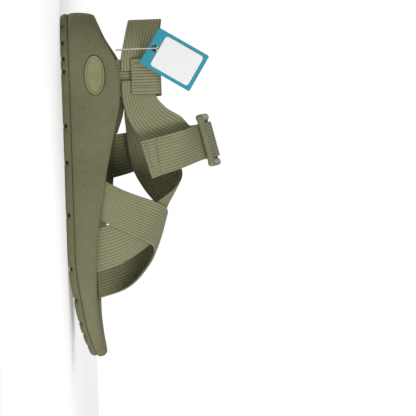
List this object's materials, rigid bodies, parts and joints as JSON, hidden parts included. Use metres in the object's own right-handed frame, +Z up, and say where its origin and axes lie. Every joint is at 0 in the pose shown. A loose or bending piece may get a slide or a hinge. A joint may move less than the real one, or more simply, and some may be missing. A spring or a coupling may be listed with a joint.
{
  "type": "sport sandal",
  "caption": "Strappy webbing sport sandal for the right foot: lugged rubber outsole, cupped foam midsole, crossing webbing straps, ladder lock buckle with pull tab, heel strap, blank tag.",
  "frame": {"origin": "under the middle of the sandal, on the surface it stands on", "axes": "+X to the toe, +Z up, +Y to the medial side"},
  "size_m": [0.292, 0.1066, 0.1303],
  "materials": {
    "midsole_foam": "matte moulded foam with a fine grain",
    "outsole_rubber": "matte moulded rubber",
    "webbing": "coarse polyester webbing",
    "thread": "bar-tack sewing thread",
    "badge": "satin moulded badge",
    "buckle_plastic": "satin moulded plastic",
    "tag_card": "printed card",
    "tag_white": "white paper label",
    "tag_plastic": "clear plastic loop"
  },
  "bodies": {
    "sole": {"outsole": "outsole_rubber", "midsole": "midsole_foam", "heel_medallion": "badge", "forefoot_sole_run": "webbing", "midfoot_sole_run": "webbing", "heel_sole_run": "webbing", "forefoot_strap": "webbing", "instep_strap": "webbing", "midfoot_strap": "webbing", "quarter_strap": "webbing", "medial_riser": "webbing", "lateral_riser": "webbing", "medial_front_bar_tack": "thread", "medial_rear_bar_tack": "thread", "lateral_front_bar_tack": "thread", "lateral_rear_bar_tack": "thread"},
    "buckle": {"buckle": "buckle_plastic", "buckle_wrap": "webbing"},
    "pull_tab": {"pull_tab": "webbing", "pull_tab_hem": "webbing", "pull_tab_stitching": "thread"},
    "heel_strap": {"heel_strap": "webbing", "tag_loop": "tag_plastic"},
    "tag": {"tag_card": "tag_card", "tag_label": "tag_white"}
  },
  "joints": [
    {"name": "buckle_tilt", "type": "hinge", "parent": "sole", "child": "buckle", "pos_m": [-0.03445, 0.00618, 0.12306], "axis": [-0.9744, 0, -0.225], "range_deg": [0, 22]},
    {"name": "pull_tab_lift", "type": "hinge", "parent": "buckle", "child": "pull_tab", "pos_m": [-0.0324, -0.01559, 0.11415], "axis": [-0.9744, 0, -0.225], "range_deg": [0, 60]},
    {"name": "heel_strap_swing", "type": "hinge", "parent": "sole", "child": "heel_strap", "pos_m": [-0.10066, -0.00102, 0.064], "axis": [0, 1, 0], "range_deg": [-8, 8]},
    {"name": "tag_swing", "type": "hinge", "parent": "heel_strap", "child": "tag", "pos_m": [-0.11154, -0.0392, 0.0791], "axis": [0, 1, 0], "range_deg": [-20, 20]}
  ]
}
